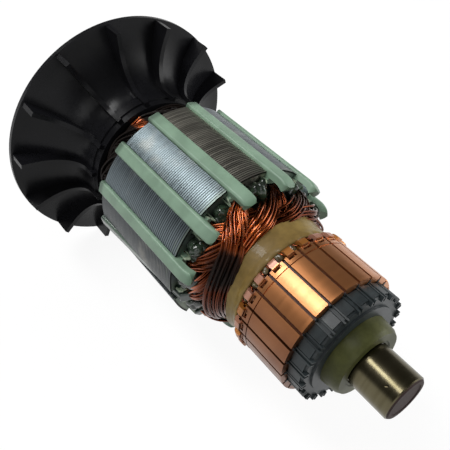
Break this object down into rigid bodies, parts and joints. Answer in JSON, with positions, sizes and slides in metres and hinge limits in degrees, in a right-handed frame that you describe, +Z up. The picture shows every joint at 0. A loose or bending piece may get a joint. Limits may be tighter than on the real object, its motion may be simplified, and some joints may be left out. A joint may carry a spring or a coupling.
{
  "type": "motor armature",
  "caption": "Wound rotor of a universal motor: slotted laminated core, enamelled windings, hook commutator, cooling fan and a shaft with two bearing seats.",
  "frame": {"origin": "on the shaft's axis, at the middle of the bearing seat at the fan end", "axes": "+X along the shaft towards the commutator, +Z up through the middle of a core tooth, +Y across"},
  "size_m": [0.101, 0.056, 0.056],
  "materials": {
    "shaft_steel": "ground and oiled",
    "core_steel": "stamped sheets, turned on the outside",
    "insulator_resin": "dark green resin coat",
    "liner_film": "pale green insulating film",
    "wedge_film": "satin sage green",
    "enamelled_copper": "glossy enamelled copper wire in varnish",
    "lead_resin": "olive-tan cast resin",
    "commutator_copper": "turned and polished copper",
    "commutator_plastic": "glossy dark moulding",
    "sleeve_plastic": "satin olive moulding",
    "fan_plastic": "near-black satin moulding"
  },
  "bodies": {
    "root": {"shaft": "shaft_steel", "core_laminations": "core_steel", "front_end_insulator": "insulator_resin", "rear_end_insulator": "insulator_resin", "slot_liners": "liner_film", "slot_wedge_01": "wedge_film", "slot_wedge_02": "wedge_film", "slot_wedge_03": "wedge_film", "slot_wedge_04": "wedge_film", "slot_wedge_05": "wedge_film", "slot_wedge_06": "wedge_film", "slot_wedge_07": "wedge_film", "slot_wedge_08": "wedge_film", "slot_wedge_09": "wedge_film", "slot_wedge_10": "wedge_film", "slot_wedge_11": "wedge_film", "slot_wedge_12": "wedge_film", "coil_01": "enamelled_copper", "coil_02": "enamelled_copper", "coil_03": "enamelled_copper", "coil_04": "enamelled_copper", "coil_05": "enamelled_copper", "coil_06": "enamelled_copper", "coil_07": "enamelled_copper", "coil_08": "enamelled_copper", "coil_09": "enamelled_copper", "coil_10": "enamelled_copper", "coil_11": "enamelled_copper", "coil_12": "enamelled_copper", "lead_ring": "lead_resin", "commutator_bar_01": "commutator_copper", "commutator_bar_02": "commutator_copper", "commutator_bar_03": "commutator_copper", "commutator_bar_04": "commutator_copper", "commutator_bar_05": "commutator_copper", "commutator_bar_06": "commutator_copper", "commutator_bar_07": "commutator_copper", "commutator_bar_08": "commutator_copper", "commutator_bar_09": "commutator_copper", "commutator_bar_10": "commutator_copper", "commutator_bar_11": "commutator_copper", "commutator_bar_12": "commutator_copper", "commutator_bar_13": "commutator_copper", "commutator_bar_14": "commutator_copper", "commutator_bar_15": "commutator_copper", "commutator_bar_16": "commutator_copper", "commutator_bar_17": "commutator_copper", "commutator_bar_18": "commutator_copper", "commutator_bar_19": "commutator_copper", "commutator_bar_20": "commutator_copper", "commutator_bar_21": "commutator_copper", "commutator_bar_22": "commutator_copper", "commutator_bar_23": "commutator_copper", "commutator_bar_24": "commutator_copper", "commutator_moulding": "commutator_plastic", "shaft_sleeve": "sleeve_plastic", "fan": "fan_plastic"}
  },
  "joints": []
}
